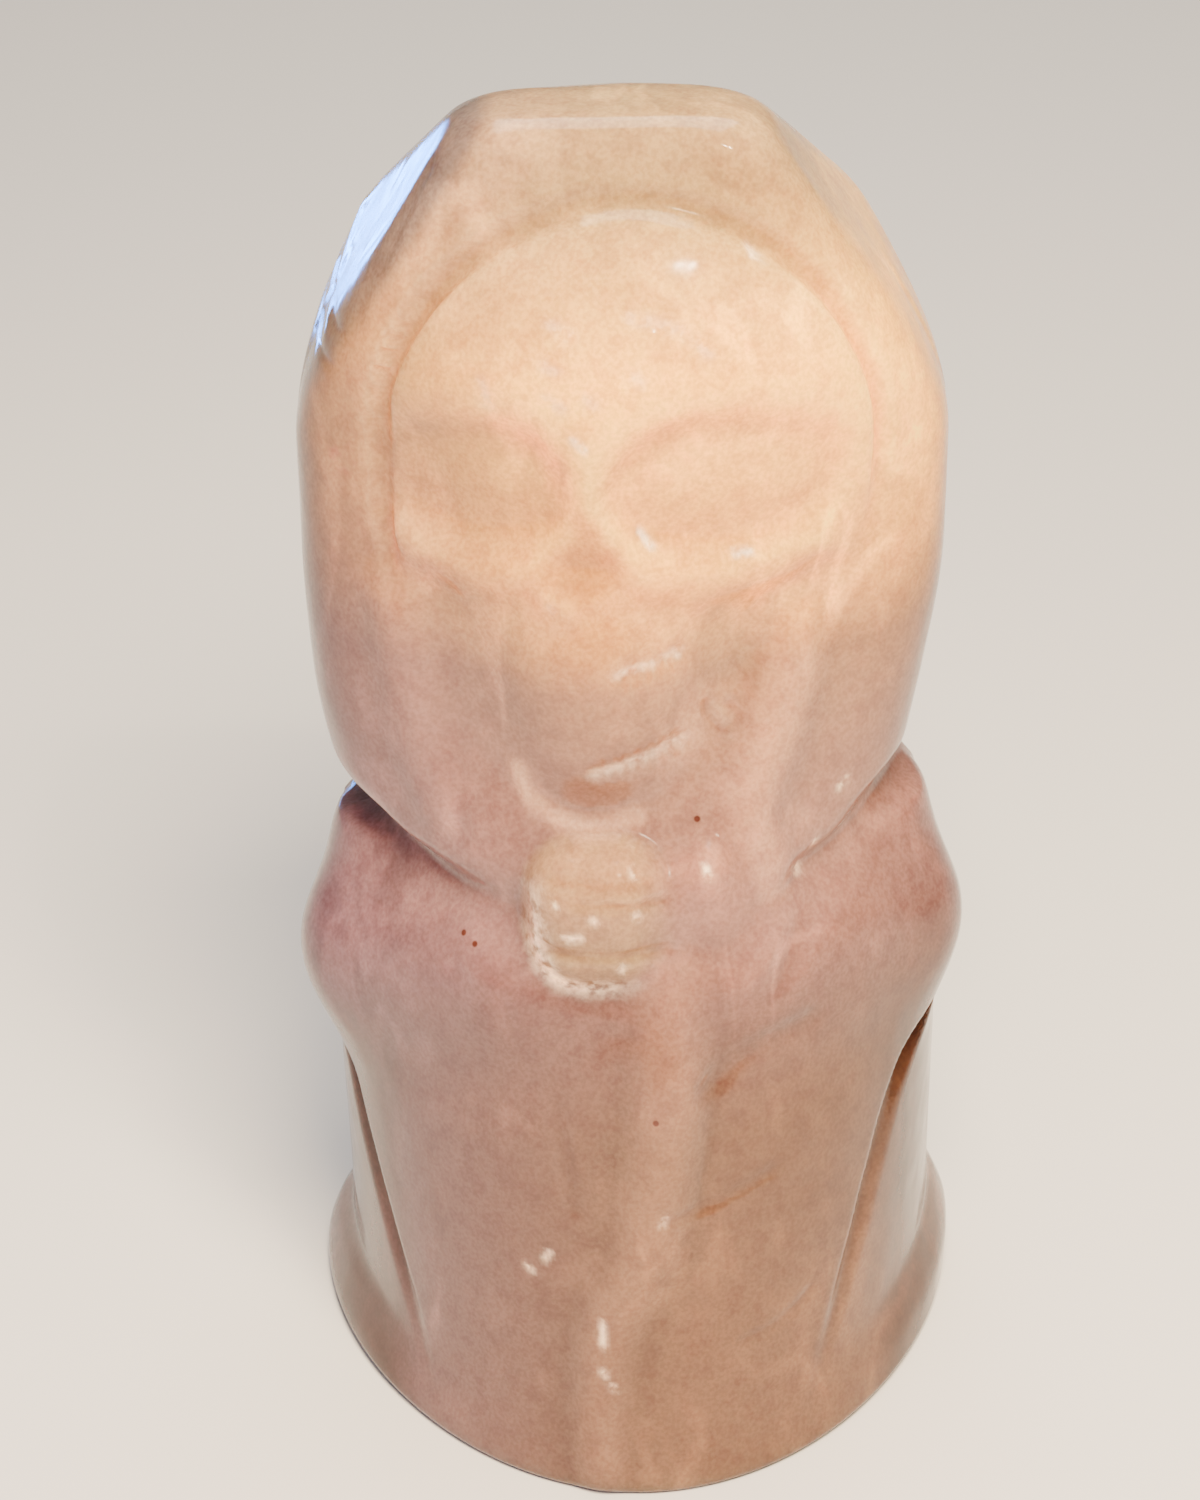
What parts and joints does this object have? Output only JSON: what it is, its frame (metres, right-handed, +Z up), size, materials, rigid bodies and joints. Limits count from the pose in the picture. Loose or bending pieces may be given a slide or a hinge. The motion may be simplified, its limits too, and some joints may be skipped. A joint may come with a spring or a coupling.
{
  "type": "grim reaper carving",
  "caption": "Small polished rose quartz carving of a hooded, skull-faced reaper gripping an upright staff, standing on a flat underside.",
  "frame": {"origin": "middle of the figure's plan, on the flat underside", "axes": "+Z up to the hood's top, -Y the way the skull looks, +X to the viewer's right"},
  "size_m": [0.025, 0.0242, 0.05],
  "materials": {
    "rose_quartz": "polished"
  },
  "bodies": {
    "root": {"reaper": "rose_quartz"}
  },
  "joints": []
}
